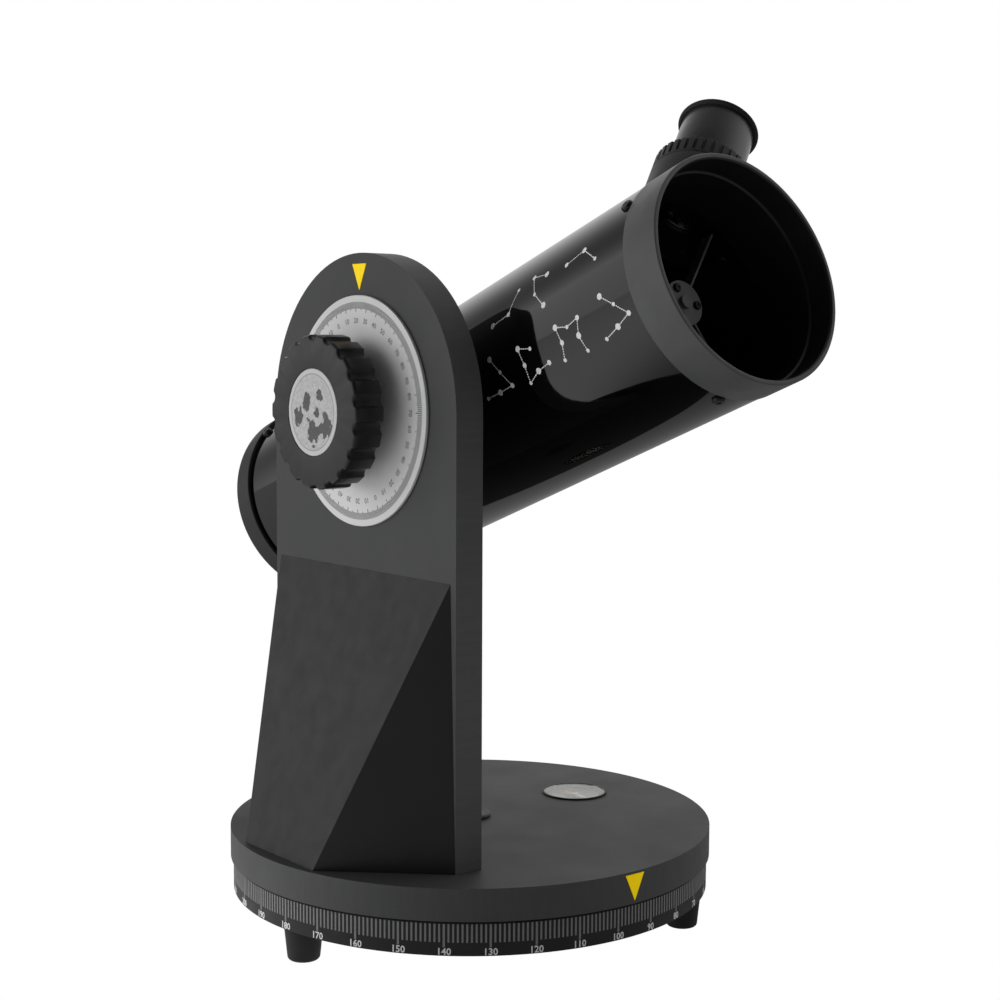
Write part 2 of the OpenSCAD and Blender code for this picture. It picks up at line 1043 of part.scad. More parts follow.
module focuser_screw_places() {
    for (s = [-1, 1])
        for (a = [-focuser_screw_angle, focuser_screw_angle])
            on_tube_wall(eyepiece_lean, eyepiece_axial)
                translate([s * focuser_screw_place_r * cos(a), focuser_screw_place_r * sin(a), focuser_screw_h])
                    rotate([180, 0, 0])
                        children();
}

module focuser_base() {
    color([0.16, 0.16, 0.17])
        difference() {
            on_eyepiece()
                difference() {
                    union() {
                        rotate_extrude()
                            polygon([
                                [draw_r + run, turret_bottom],
                                [turret_r, turret_bottom],
                                [turret_r, turret_top - 0.6],
                                [turret_r - 0.6, turret_top],
                                [lip_neck_r, turret_top],
                                [lip_neck_r, lip_bottom],
                                [lip_r, lip_bottom],
                                [lip_r - 0.4, lip_top],
                                [draw_r + run, lip_top]
                            ]);
                        intersection() {
                            sleeve(turret_flange_r, draw_r + run, turret_bottom, tube_r + turret_flange_t);
                            rotate([90, 0, 0])
                                cylinder(r = tube_r + turret_flange_t, h = 120, center = true);
                        }
                    }
                    rotate([90, 0, 0])
                        cylinder(r = tube_r + eps, h = 120, center = true);
                    translate([0, draw_r, key_h])
                        rotate([-90, 0, 0])
                            translate([0, 0, -2])
                                cylinder(r = key_r + eps, h = 20);
                }
            on_tube()
                focuser_screw_places()
                    rod(focuser_screw_r + eps, -20, 5);
        }
}

module focuser_screws() {
    color([0.10, 0.10, 0.10])
        on_tube()
            focuser_screw_places()
                pan_screw(focuser_screw_r, 2.7, 1.5, 16);
}

module focus_guide_screw() {
    color([0.20, 0.20, 0.20])
        on_eyepiece()
            translate([0, draw_r - 1, key_h])
                rotate([-90, 0, 0])
                    cylinder(r = key_r, h = key_end - draw_r + 1);
}

module focus_ring() {
    color([0.13, 0.13, 0.14])
        on_eyepiece()
            difference() {
                rotate_extrude()
                    polygon([
                        [lip_neck_r + 0.1, ring_bottom],
                        [ring_r - 0.7, ring_bottom],
                        [ring_r, ring_bottom + 0.7],
                        [ring_r, ring_top - 0.5],
                        [ring_r - 0.5, ring_top],
                        [draw_r + run + 0.4, ring_top],
                        [draw_r + run, ring_top - 0.4],
                        [draw_r + run, lip_top + 0.4],
                        [lip_r + 0.1, lip_top + 0.4],
                        [lip_r + 0.1, lip_bottom - 0.2],
                        [lip_neck_r + 0.1, lip_bottom - 0.2]
                    ]);
                for (i = [0 : ring_ribs - 1])
                    rotate([0, 0, 360 * i / ring_ribs])
                        translate([ring_r - rib_depth, -rib_w / 2, ring_bottom + 1.2])
                            cube([rib_depth + 1, rib_w, ring_top - ring_bottom]);
            }
}

module drawtube() {
    slot_w = 2 * key_r + 0.2;
    color([0.10, 0.10, 0.11])
        on_eyepiece()
            difference() {
                sleeve(draw_r, draw_bore, draw_bottom, draw_top);
                translate([-slot_w / 2, draw_r - 1.2, key_h - 12])
                    cube([slot_w, 4, 18]);
            }
}

// ---- Eyepiece ----

module eyepiece_barrel() {
    color([0.75, 0.75, 0.77])
        on_eyepiece()
            rotate_extrude()
                polygon([
                    [14.4, barrel_bottom],
                    [barrel_r - 0.4, barrel_bottom],
                    [barrel_r, barrel_bottom + 0.4],
                    [barrel_r, barrel_top - 0.02],
                    [12.4, barrel_top - 0.02],
                    [12.4, barrel_top - 1.2],
                    [14.4, barrel_top - 1.2]
                ]);
}

module eyepiece_body() {
    color([0.09, 0.09, 0.10])
        on_eyepiece()
            rotate_extrude()
                polygon([
                    [barrel_r + eps, eyepiece_bottom],
                    [eyepiece_r - 0.5, eyepiece_bottom],
                    [eyepiece_r, eyepiece_bottom + 0.5],
                    [eyepiece_r, eyepiece_top],
                    [eye_opening_r, eyepiece_top],
                    [eye_opening_r, eyepiece_top - 3.5],
                    [lens_r + eps, eyepiece_top - 3.5],
                    [lens_r + eps, barrel_top],
                    [barrel_r + eps, barrel_top]
                ]);
}

module eyecup() {
    color([0.06, 0.06, 0.06])
        on_eyepiece()
            rotate_extrude()
                polygon([
                    [eye_opening_r + 0.4, eyepiece_top + 0.01],
                    [eyecup_r - 1.2, eyepiece_top + 0.01],
                    [eyecup_r - 0.2, eyepiece_top + 0.5],
                    [eyecup_r, eyepiece_top + 1.1],
                    [eyecup_r - 0.2, eyecup_top - 0.4],
                    [eyecup_r - 0.8, eyecup_top],
                    [eyecup_r - 2.4, eyecup_top],
                    [14, eyecup_top - 0.9],
                    [eye_opening_r + 0.4, eyecup_top - 1.6]
                ]);
}

module field_lens() {
    color([0.85, 0.90, 0.92, 0.35])
        on_eyepiece()
            lens(lens_r, field_lens_bottom, field_lens_top, field_curves[0], field_curves[1]);
}

module lens_spacer() {
    color([0.05, 0.05, 0.05])
        on_eyepiece()
            sleeve(
                lens_r,
                lens_r - spacer_wall,
                field_lens_top + ring_rise(field_curves[1], spacer_wall) + eps,
                eye_lens_bottom - ring_rise(eye_curves[0], spacer_wall) - eps
            );
}

module eye_lens() {
    color([0.85, 0.90, 0.92, 0.35])
        on_eyepiece()
            lens(lens_r, eye_lens_bottom, eye_lens_top, eye_curves[0], eye_curves[1]);
}

module lens_retainer() {
    color([0.05, 0.05, 0.05])
        on_eyepiece()
            sleeve(
                lens_r,
                lens_r - retainer_wall,
                barrel_top + 0.2,
                field_lens_bottom - ring_rise(field_curves[0], retainer_wall) - eps
            );
}

ground_board();
azimuth_scale_band();
rubber_feet();
foot_studs();
glide_pads();
azimuth_bolt();
azimuth_washer();
azimuth_lock_nut();
pivot_cap();
turntable_board();
azimuth_bush();
base_pointer();
arm_panel();
arm_screws();
arm_brace();
brace_screws();
arm_pointer();
altitude_bush();
compass_case();
compass_card();
compass_pivot();
compass_lens();
compass_needle();
tube_shell();
front_collar();
front_collar_screws();
spider();
secondary_holder();
secondary_mirror();
collimation_screws();
rear_cell();
rear_cell_screws();
primary_mirror();
mirror_pads();
mirror_clips();
mirror_clip_screws();
tube_bracket();
bracket_screws();
altitude_axle();
friction_washer();
setting_circle();
altitude_knob();
knob_insert();
knob_label();
focuser_base();
focuser_screws();
focus_guide_screw();
focus_ring();
drawtube();
eyepiece_barrel();
eyepiece_body();
eyecup();
field_lens();
lens_spacer();
eye_lens();
lens_retainer();
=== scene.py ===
"""Looks, light and camera for a tabletop Newtonian reflector on a one-armed turntable base.

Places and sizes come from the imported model. Lengths are in millimetres until a mesh is written.
"""

import json
import math

import bmesh
import bpy
import numpy as np
from mathutils import Matrix, Vector


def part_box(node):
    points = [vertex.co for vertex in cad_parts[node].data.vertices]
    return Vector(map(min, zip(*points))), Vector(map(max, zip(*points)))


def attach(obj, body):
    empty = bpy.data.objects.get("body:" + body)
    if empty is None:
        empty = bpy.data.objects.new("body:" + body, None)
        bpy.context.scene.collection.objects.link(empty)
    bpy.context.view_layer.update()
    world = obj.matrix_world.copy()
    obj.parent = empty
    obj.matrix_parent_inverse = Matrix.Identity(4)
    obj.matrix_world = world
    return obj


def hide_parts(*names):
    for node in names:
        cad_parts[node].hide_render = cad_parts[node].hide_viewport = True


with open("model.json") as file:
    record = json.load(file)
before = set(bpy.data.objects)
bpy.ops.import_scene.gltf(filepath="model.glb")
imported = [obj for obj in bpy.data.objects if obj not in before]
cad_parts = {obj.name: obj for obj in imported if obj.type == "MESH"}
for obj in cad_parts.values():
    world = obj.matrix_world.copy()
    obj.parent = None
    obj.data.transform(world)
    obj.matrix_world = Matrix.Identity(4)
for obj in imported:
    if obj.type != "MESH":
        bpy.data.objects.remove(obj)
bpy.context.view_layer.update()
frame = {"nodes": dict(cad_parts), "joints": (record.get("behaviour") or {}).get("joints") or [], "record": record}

MM = 0.001
NODES = frame["nodes"]
JOINTS = {joint["name"]: joint for joint in frame["joints"]}
SLOT_OF = {part["node"]: part["material_slot"] for part in frame["record"]["subparts"]}


# ---- Places: local frames with +Z along an axis, and what the CAD measures in them ----

def place(origin, z_axis, y_near):
    """Frame at origin (metres) with +Z along z_axis and +Y as near y_near as it can be."""
    z = Vector(z_axis).normalized()
    x = Vector(y_near).cross(z).normalized()
    matrix = Matrix((x, z.cross(x), z)).transposed().to_4x4()
    matrix.translation = Vector(origin)
    return matrix


def points_of(node, where):
    """A CAD node's vertices in a place, in millimetres."""
    into = np.array(where.inverted())
    points = np.array([v.co for v in NODES[node].data.vertices])
    return (points @ into[:3, :3].T + into[:3, 3]) / MM


def heights(node, where):
    """Lowest and highest Z of a node in a place."""
    z = points_of(node, where)[:, 2]
    return float(z.min()), float(z.max())


def radii(node, where):
    """Smallest and largest distance of a node's vertices from the place's Z axis."""
    points = points_of(node, where)
    distance = np.hypot(points[:, 0], points[:, 1])
    return float(distance.min()), float(distance.max())


axle_z = JOINTS["altitude"]["pos_m"][2]
rest_altitude = math.radians(-JOINTS["altitude"]["range_deg"][0])
tube_low, tube_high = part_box("tube_shell")
tube_origin = Vector(((tube_low.x + tube_high.x) / 2, 0, axle_z))
tube_axis = Vector((0, -math.cos(rest_altitude), math.sin(rest_altitude)))
eye_axis = Vector(JOINTS["focus_turn"]["axis"])
eye_point = Vector(JOINTS["focus_turn"]["pos_m"])
board_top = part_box("turntable_board")[1].z
compass_point = Vector(JOINTS["compass_swing"]["pos_m"])

BASE = place((0, 0, 0), (0, 0, 1), (0, 1, 0))
AXLE = place((0, 0, axle_z), JOINTS["altitude"]["axis"], (0, 0, 1))
TUBE = place(tube_origin, tube_axis, (0, 0, 1))
EYE = place(eye_point - eye_axis * (eye_point - tube_origin).dot(eye_axis), eye_axis, -tube_axis)
COMPASS = place((compass_point.x, compass_point.y, board_top), (0, 0, 1), (0, 1, 0))


# ---- Outlines ----

def rounded(corners, closed=True, step=15):
    """Points of an outline whose corners (x, y, fillet) become arcs; the fillet may be left out."""
    points = []
    for i, corner in enumerate(corners):
        here = np.array(corner[:2], float)
        fillet = corner[2] if len(corner) > 2 else 0
        at_end = not closed and i in (0, len(corners) - 1)
        if fillet == 0 or at_end:
            points.append(here)
            continue
        before = np.array(corners[i - 1][:2], float) - here
        after = np.array(corners[(i + 1) % len(corners)][:2], float) - here
        before /= np.linalg.norm(before)
        after /= np.linalg.norm(after)
        half = math.acos(max(-1.0, min(1.0, before @ after))) / 2
        middle = (before + after) / np.linalg.norm(before + after)
        centre = here + middle * fillet / math.sin(half)
        first = here + before * fillet / math.tan(half) - centre
        last = here + after * fillet / math.tan(half) - centre
        start = math.atan2(first[1], first[0])
        turn = math.atan2(last[1], last[0]) - start
        turn = (turn + math.pi) % (2 * math.pi) - math.pi
        steps = max(2, math.ceil(abs(math.degrees(turn)) / step))
        for k in range(steps + 1):
            angle = start + turn * k / steps
            points.append(centre + fillet * np.array((math.cos(angle), math.sin(angle))))
    return points


# ---- Pieces ----

def add_piece(name, body, slot, mesh, sharp=32, stands_for=()):
    """Puts a finished mesh in the scene as a piece that rides on a body."""
    piece = bpy.data.objects.new(name, mesh)
    bpy.context.scene.collection.objects.link(piece)
    if not mesh.materials:
        mesh.materials.append(FINISHES[slot])
    mesh.shade_smooth()
    mesh.set_sharp_from_angle(angle=math.radians(sharp))
    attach(piece, body)
    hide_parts(*stands_for)
    return piece


def mesh_of(name, vertices, faces, where):
    """A mesh from local points in millimetres, with doubled points merged and normals outwards."""
    mesh = bpy.data.meshes.new(name)
    mesh.from_pydata([where @ (Vector(v) * MM) for v in vertices], [], faces)
    work = bmesh.new()
    work.from_mesh(mesh)
    bmesh.ops.remove_doubles(work, verts=work.verts, dist=1e-7)
    bmesh.ops.dissolve_degenerate(work, edges=work.edges, dist=1e-8)
    bmesh.ops.recalc_face_normals(work, faces=work.faces)
    work.to_mesh(mesh)
    work.free()
    return mesh


def skin(name, rings, where):
    """Mesh through rings of equally many points, closed from the last ring back to the first.

    Rings that shrink to a point on the axis at both ends make a solid without a bore.
    """
    count = len(rings[0])
    vertices = np.concatenate(rings)
    faces = []
    for i in range(len(rings)):
        low = i * count
        high = (i + 1) % len(rings) * count
        for k in range(count):
            after = (k + 1) % count
            faces.append((low + k, low + after, high + after, high + k))
    return mesh_of(name, vertices, faces, where)


def flat_ring(angles, radius, height):
    """Points at one height round the axis, at one radius or at a radius for each angle."""
    level = np.full(len(angles), height)
    return np.column_stack((radius * np.cos(angles), radius * np.sin(angles), level))


def turned(name, profile, where, segments=192, shape=None):
    """A turned solid from corners (radius, height, fillet) going once round the section.

    shape(angles, radius, height) gives the radii round the axis where they are not all the same.
    """
    angles = np.arange(segments) * 2 * math.pi / segments
    rings = []
    for r, z in rounded(profile):
        radius = np.full(segments, max(r, 0.0))
        if shape is not None:
            radius = shape(angles, radius, z)
        rings.append(flat_ring(angles, radius, z))
    return skin(name, rings, where)


def cut(mesh, cutters):
    """Takes rods (place, radius, bottom, top) away from a mesh."""
    target = bpy.data.objects.new("cut_target", mesh)
    bpy.context.scene.collection.objects.link(target)
    for at, radius, bottom, top in cutters:
        tool_mesh = turned("cutter", [(0, bottom), (radius, bottom), (radius, top), (0, top)], at, 128)
        tool = bpy.data.objects.new("cutter", tool_mesh)
        bpy.context.scene.collection.objects.link(tool)
        change = target.modifiers.new("cut", "BOOLEAN")
        change.object = tool
        change.solver = "EXACT"
        done = bpy.data.meshes.new_from_object(target.evaluated_get(bpy.context.evaluated_depsgraph_get()))
        target.modifiers.clear()
        target.data = done
        bpy.data.objects.remove(tool)
    result = target.data
    bpy.data.objects.remove(target)
    return result


# ---- Printing: thin closed solids laid on a surface, drawn flat as (x, y, level 0 or 1) ----

# A print's underside is sunk into the surface, so that it leaves no gap, and its top stands just proud.
PRINT_SINK = 0.03
PRINT_THICKNESS = 0.07


def prism(outline):
    """A flat outline as a solid of one thickness."""
    count = len(outline)
    vertices = [(x, y, 0) for x, y in outline] + [(x, y, 1) for x, y in outline]
    faces = [tuple(reversed(range(count))), tuple(range(count, 2 * count))]
    faces += [(k, (k + 1) % count, count + (k + 1) % count, count + k) for k in range(count)]
    return vertices, faces


def block(x0, x1, y0, y1):
    return prism([(x0, y0), (x1, y0), (x1, y1), (x0, y1)])


def disc(x, y, radius, count=20):
    angles = [2 * math.pi * k / count for k in range(count)]
    return prism([(x + radius * math.cos(a), y + radius * math.sin(a)) for a in angles])


def dashes(start, end, width, dash, gap):
    """A broken line between two points."""
    start, end = Vector(start), Vector(end)
    along = (end - start).normalized()
    side = Vector((-along.y, along.x)) * width / 2
    count = max(1, round((end - start).length / (dash + gap)))
    pitch = (end - start) / count
    shapes = []
    for k in range(count):
        a = start + pitch * (k + 0.5) - along * dash / 2
        b = a + along * dash
        shapes.append(prism([a - side, b - side, b + side, a + side]))
    return shapes


def numeral(text, x, y, height, turn=0.0, weight=0.0):
    """Plain numerals of a height, centred on a point and turned; weight makes them bolder."""
    curve = bpy.data.curves.new("numeral", "FONT")
    curve.body = text
    curve.align_x = "CENTER"
    curve.offset = weight
    curve.extrude = 0.5
    curve.resolution_u = 2
    holder = bpy.data.objects.new("numeral", curve)
    mesh = bpy.data.meshes.new_from_object(holder)
    digit_height = 0.70
    scale = height / digit_height
    vertices = []
    for v in mesh.vertices:
        px = v.co.x * scale
        py = (v.co.y - digit_height / 2) * scale
        vertices.append((
            x + px * math.cos(turn) - py * math.sin(turn),
            y + px * math.sin(turn) + py * math.cos(turn),
            v.co.z + 0.5,
        ))
    faces = [tuple(face.vertices) for face in mesh.polygons]
    bpy.data.objects.remove(holder)
    bpy.data.meshes.remove(mesh)
    return vertices, faces


def add_print(name, body, slot, finish, shapes, wrap, where):
    """Lays flat shapes on a surface as one printed piece; wrap gives a local place for (x, y, level)."""
    vertices = []
    faces = []
    for shape_vertices, shape_faces in shapes:
        start = len(vertices)
        vertices += [wrap(*v) for v in shape_vertices]
        faces += [tuple(start + k for k in face) for face in shape_faces]
    mesh = mesh_of(name, vertices, faces, where)
    mesh.materials.append(finish)
    return add_piece(name, body, slot, mesh)


def soften(node, width, limit=28, segments=3):
    """Rounds the edges of a CAD node with modifiers: weld, merge coplanar faces, bevel, even normals."""
    piece = NODES[node]
    weld = piece.modifiers.new("weld", "WELD")
    weld.merge_threshold = 2e-6
    flat = piece.modifiers.new("flat", "DECIMATE")
    flat.decimate_type = "DISSOLVE"
    flat.angle_limit = math.radians(0.3)
    edge = piece.modifiers.new("edge", "BEVEL")
    edge.width = width * MM
    edge.segments = segments
    edge.limit_method = "ANGLE"
    edge.angle_limit = math.radians(limit)
    edge.use_clamp_overlap = True
    even = piece.modifiers.new("even", "WEIGHTED_NORMAL")
    even.keep_sharp = False


# ---- Finishes ----

class Finish:
    """A node material, with short calls for the nodes that every finish uses."""

    def __init__(self, name):
        self.material = bpy.data.materials.new(name)
        self.material.use_nodes = True
        self.tree = self.material.node_tree
        self.shader = self.tree.nodes["Principled BSDF"]
        self.coords = self.tree.nodes.new("ShaderNodeTexCoord")

    def node(self, kind, **settings):
        made = self.tree.nodes.new(kind)
        for key, value in settings.items():
            setattr(made, key, value)
        return made

    def put(self, value, socket):
        """Feeds a socket from another socket or with a plain value."""
        if isinstance(value, bpy.types.NodeSocket):
            self.tree.links.new(value, socket)
        else:
            socket.default_value = value

    def set(self, name, value):
        self.put(value, self.shader.inputs[name])

    def noise(self, size, detail=3.0, stretch=(1, 1, 1), seed=0.0):
        """Noise from 0 to 1 with features of a size in millimetres."""
        mapping = self.node("ShaderNodeMapping")
        mapping.inputs["Location"].default_value = (seed, seed, seed)
        mapping.inputs["Scale"].default_value = [s / (size * MM) for s in stretch]
        texture = self.node("ShaderNodeTexNoise")
        texture.inputs["Scale"].default_value = 1
        texture.inputs["Detail"].default_value = detail
        self.put(self.coords.outputs["Object"], mapping.inputs["Vector"])
        self.put(mapping.outputs["Vector"], texture.inputs["Vector"])
        return texture.outputs["Fac"]

    def spread(self, value, low, high, to_low=0.0, to_high=1.0):
        """Maps a value's range low..high onto to_low..to_high, and stops at both."""
        mapped = self.node("ShaderNodeMapRange")
        for key, number in zip(("From Min", "From Max", "To Min", "To Max"), (low, high, to_low, to_high)):
            mapped.inputs[key].default_value = number
        self.put(value, mapped.inputs["Value"])
        return mapped.outputs["Result"]

    def math(self, operation, a, b=0.0):
        made = self.node("ShaderNodeMath", operation=operation)
        self.put(a, made.inputs[0])
        self.put(b, made.inputs[1])
        return made.outputs[0]

    def mix(self, share, a, b):
        """Blends two colours."""
        made = self.node("ShaderNodeMix", data_type="RGBA")
        self.put(share, made.inputs[0])
        self.put(a, made.inputs[6])
        self.put(b, made.inputs[7])
        return made.outputs[2]

    def relief(self, *layers):
        """Bump from (height, depth in millimetres) layers, the coarse ones first."""
        normal = None
        for height, depth in layers:
            bump = self.node("ShaderNodeBump")
            bump.inputs["Distance"].default_value = depth * MM
            self.put(height, bump.inputs["Height"])
            if normal is not None:
                self.put(normal, bump.inputs["Normal"])
            normal = bump.outputs["Normal"]
        self.set("Normal", normal)

    def distance(self, x, y):
        """Length of (x, y)."""
        return self.math("SQRT", self.math("ADD", self.math("MULTIPLY", x, x), self.math("MULTIPLY", y, y)))

    def axis_share(self, axis):
        """How far a face looks along an axis of its object, from 0 to 1."""
        parts = self.node("ShaderNodeSeparateXYZ")
        self.put(self.coords.outputs["Normal"], parts.inputs["Vector"])
        return self.math("ABSOLUTE", parts.outputs[axis])

    def local(self, where):
        """Coordinates in a place, in millimetres, as three sockets."""
        into = where.inverted()
        rows = []
        for row in range(3):
            dot = self.node("ShaderNodeVectorMath", operation="DOT_PRODUCT")
            dot.inputs[1].default_value = [into[row][column] / MM for column in range(3)]
            self.put(self.coords.outputs["Object"], dot.inputs[0])
            rows.append(self.math("ADD", dot.outputs["Value"], into[row][3] / MM))
        return rows


def tone(level, warmth=0.0):
    """A grey as linear RGBA, a little warmer or cooler."""
    return (level * (1 + warmth), level, level * (1 - warmth), 1.0)


def moulded(name, level, rough, grain=0.45, depth=0.012, mottle=0.10, warmth=-0.01, specular=0.5):
    """Moulded plastic or rubber: fine spark-eroded grain, faint clouding, handling marks in the sheen."""
    f = Finish(name)
    cloud = f.spread(f.noise(22, 4), 0.35, 0.65)
    f.set("Base Color", f.mix(cloud, tone(level * (1 - mottle), warmth), tone(level * (1 + mottle), warmth)))
    f.set("Roughness", f.spread(f.noise(9, 5, seed=3.1), 0.3, 0.7, rough - 0.05, rough + 0.06))
    f.set("Specular IOR Level", specular)
    f.relief((f.noise(6, 2, seed=1.7), depth * 0.8), (f.noise(grain, 2), depth))
    return f.material


def laminate(name, thickness_axis, face=0.076, edge=0.088):
    """Charcoal laminate board: pebbled faces, and edge banding with a faint vertical drag."""
    f = Finish(name)
    on_face = f.spread(f.axis_share(thickness_axis), 0.6, 0.8)
    stretch = [1, 1, 1]
    stretch[thickness_axis] = 0.12
    cloud = f.spread(f.noise(16, 4), 0.3, 0.7)
    streak = f.spread(f.noise(2.2, 4, stretch), 0.3, 0.7)
    face_colour = f.mix(cloud, tone(face * 0.97, -0.01), tone(face * 1.03, -0.01))
    edge_colour = f.mix(streak, tone(edge * 0.95, -0.01), tone(edge * 1.05, -0.01))
    f.set("Base Color", f.mix(on_face, edge_colour, face_colour))
    f.set("Roughness", f.spread(f.noise(30, 5, seed=2.3), 0.3, 0.7, 0.55, 0.63))
    f.set("Specular IOR Level", 0.2)
    pebble = f.noise(0.7, 2.5)
    drag = f.math("MULTIPLY", f.noise(1.4, 3, stretch, seed=5.0), f.spread(on_face, 0, 1, 1, 0))
    f.relief((drag, 0.008), (pebble, 0.016))
    return f.material


def lacquer(name):
    """Gloss black lacquer with a little orange peel, soft cloth marks and a few specks of dust."""
    f = Finish(name)
    f.set("Base Color", tone(0.0006))
    f.set("Roughness", f.spread(f.noise(3, 6, seed=4.2), 0.45, 0.75, 0.04, 0.07))
    f.relief((f.noise(28, 2), 0.05), (f.noise(2.6, 2, seed=8.0), 0.0012))
    return f.material


def metal(name, colour, rough, stretch=(1, 1, 1), scratch=0.5, metallic=1.0):
    """Turned or plated metal: fine tool marks, uneven polish and slightly dulled patches."""
    f = Finish(name)
    marks = f.noise(scratch, 5, stretch)
    cloud = f.spread(f.noise(5, 4, seed=2.0), 0.3, 0.7)
    dull = [c * 0.82 for c in colour[:3]] + [1.0]
    f.set("Base Color", f.mix(cloud, dull, list(colour[:3]) + [1.0]))
    f.set("Metallic", metallic)
    f.set("Roughness", f.spread(marks, 0.3, 0.7, rough - 0.06, rough + 0.08))
    f.relief((marks, 0.003))
    return f.material


def ink(name, colour, rough=0.45):
    """Screen-printed ink: slightly uneven cover and sheen."""
    f = Finish(name)
    cover = f.spread(f.noise(0.8, 4), 0.25, 0.6)
    thin = [c * 0.86 for c in colour[:3]] + [1.0]
    f.set("Base Color", f.mix(cover, thin, list(colour[:3]) + [1.0]))
    f.set("Roughness", f.spread(f.noise(4, 3, seed=1.0), 0.3, 0.7, rough - 0.05, rough + 0.08))
    f.set("Specular IOR Level", 0.2)
    f.relief((f.noise(0.5, 3, seed=6.0), 0.004))
    return f.material


def glass(name, tint, rough=0.02, index=1.49):
    """Clear optical glass or acrylic with faint smears; a lower index makes it mirror less."""
    f = Finish(name)
    f.set("Base Color", tint)
    f.set("Transmission Weight", 1.0)
    f.set("IOR", index)
    f.set("Roughness", f.spread(f.noise(6, 4), 0.45, 0.75, rough * 0.5, rough * 2))
    f.relief((f.noise(12, 2, seed=3.0), 0.002))
    return f.material


def mirror(name):
    """First-surface aluminium coating with faint haze."""
    f = Finish(name)
    haze = f.spread(f.noise(8, 5), 0.4, 0.7)
    f.set("Base Color", f.mix(haze, (0.90, 0.92, 0.94, 1), (0.84, 0.87, 0.90, 1)))
    f.set("Metallic", 1.0)
    f.set("Roughness", f.spread(haze, 0, 1, 0.01, 0.05))
    f.relief((f.noise(20, 2), 0.0005))
    return f.material


def cork(name):
    """Pressed cork: mottled brown granules."""
    f = Finish(name)
    grains = f.node("ShaderNodeTexVoronoi")
    grains.inputs["Scale"].default_value = 1 / (0.7 * MM)
    f.put(f.coords.outputs["Object"], grains.inputs["Vector"])
    share = f.spread(grains.outputs["Distance"], 0.0, 0.6)
    f.set("Base Color", f.mix(share, (0.30, 0.17, 0.08, 1), (0.14, 0.075, 0.035, 1)))
    f.set("Roughness", f.spread(share, 0, 1, 0.8, 0.95))
    f.relief((grains.outputs["Distance"], 0.08))
    return f.material


def film(name):
    """Yellow self-adhesive film, a little glossy and a little uneven, with a faint painted glow of its own."""
    f = Finish(name)
    cloud = f.spread(f.noise(4, 3), 0.3, 0.7)
    f.set("Base Color", f.mix(cloud, (0.97, 0.67, 0.0, 1), (1.0, 0.73, 0.0, 1)))
    f.set("Specular IOR Level", 0.12)
    # Painted light: the film glows a little, so it looks brighter than the light falling on it would make it.
    f.set("Emission Color", (1.0, 0.70, 0.0, 1))
    f.set("Emission Strength", 0.30)
    f.set("Roughness", f.spread(f.noise(2, 3, seed=2.0), 0.3, 0.7, 0.38, 0.50))
    f.relief((f.noise(3, 2, seed=4.0), 0.004))
    return f.material


def needle_paint(name):
    """Compass needle, red towards +Y and white towards -Y."""
    f = Finish(name)
    _, y, _ = f.local(COMPASS)
    share = f.spread(y, -0.05, 0.05)
    wear = f.spread(f.noise(1.2, 4), 0.5, 0.8, 0, 0.3)
    red = f.mix(wear, (0.55, 0.02, 0.015, 1), (0.40, 0.05, 0.04, 1))
    f.set("Base Color", f.mix(share, (0.80, 0.80, 0.78, 1), red))
    f.set("Roughness", f.spread(f.noise(0.8, 3), 0.3, 0.7, 0.3, 0.45))
    f.relief((f.noise(0.6, 3, seed=2.0), 0.003))
    return f.material


def spider_paint(name):
    """Hub and vanes of the spider painted light grey for the light that reaches them inside the tube; flat black
    on its outer ring.
    """
    f = Finish(name)
    x, y, _ = f.local(TUBE)
    ring_start = 44.0
    at_ring = f.spread(f.distance(x, y), ring_start, ring_start + 1)
    cloud = f.spread(f.noise(6, 4), 0.3, 0.7)
    # Painted light: the hub and vanes are much lighter than black plastic, in place of the light they catch inside
    # the tube.
    hub_painted_light = f.mix(cloud, tone(0.13), tone(0.17))
    f.set("Base Color", f.mix(at_ring, hub_painted_light, tone(0.004)))
    f.set("Roughness", f.spread(at_ring, 0, 1, 0.42, 0.8))
    f.set("Specular IOR Level", f.spread(at_ring, 0, 1, 0.4, 0.12))
    f.relief((f.noise(0.6, 2, seed=2.0), 0.008))
    return f.material


def blotches(count=6):
    """Blotches along a sunflower spiral: centre x and y and size, as shares of a disc's radius."""
    golden_angle = math.radians(137.5)
    spots = []
    for k in range(count):
        reach = 0.66 * math.sqrt((k + 0.5) / count)
        turn = golden_angle * k
        spots.append((reach * math.cos(turn), reach * math.sin(turn), 0.12 + 0.07 * (k % 3)))
    return spots


def blotched_disc(name, where, radius):
    """Light printed disc with dark blotches inside a plain pale rim."""
    f = Finish(name)
    x, y, _ = f.local(where)
    distance = f.distance(x, y)
    wobble = f.spread(f.noise(4, 5, seed=0.35), 0.2, 0.8, -0.9, 0.9)
    cover = 0.0
    for spot_x, spot_y, spot_radius in blotches():
        away_x = f.math("SUBTRACT", x, spot_x * radius)
        away_y = f.math("SUBTRACT", y, spot_y * radius)
        away = f.distance(away_x, away_y)
        share = f.math("ADD", f.math("DIVIDE", away, spot_radius * radius), wobble)
        cover = f.math("MAXIMUM", f.spread(share, 0.95, 1.10, 1, 0), cover)
    mottle = f.spread(f.noise(1.1, 6, seed=7.0), 0.3, 0.7)
    ground = f.mix(mottle, tone(0.66), tone(0.46))
    inside = f.spread(distance, radius * 0.86, radius * 0.87, 1, 0)
    dark = f.mix(mottle, tone(0.12), tone(0.07))
    printed = f.mix(cover, ground, dark)
    line = f.math("MULTIPLY", f.spread(distance, radius * 0.86, radius * 0.87),
                  f.spread(distance, radius * 0.885, radius * 0.895, 1, 0))
    rimmed = f.mix(inside, tone(0.66), printed)
    f.set("Base Color", f.mix(line, rimmed, tone(0.35)))
    f.set("Roughness", f.spread(f.noise(5, 3), 0.3, 0.7, 0.45, 0.58))
    f.relief((f.noise(0.9, 3), 0.006))
    return f.material


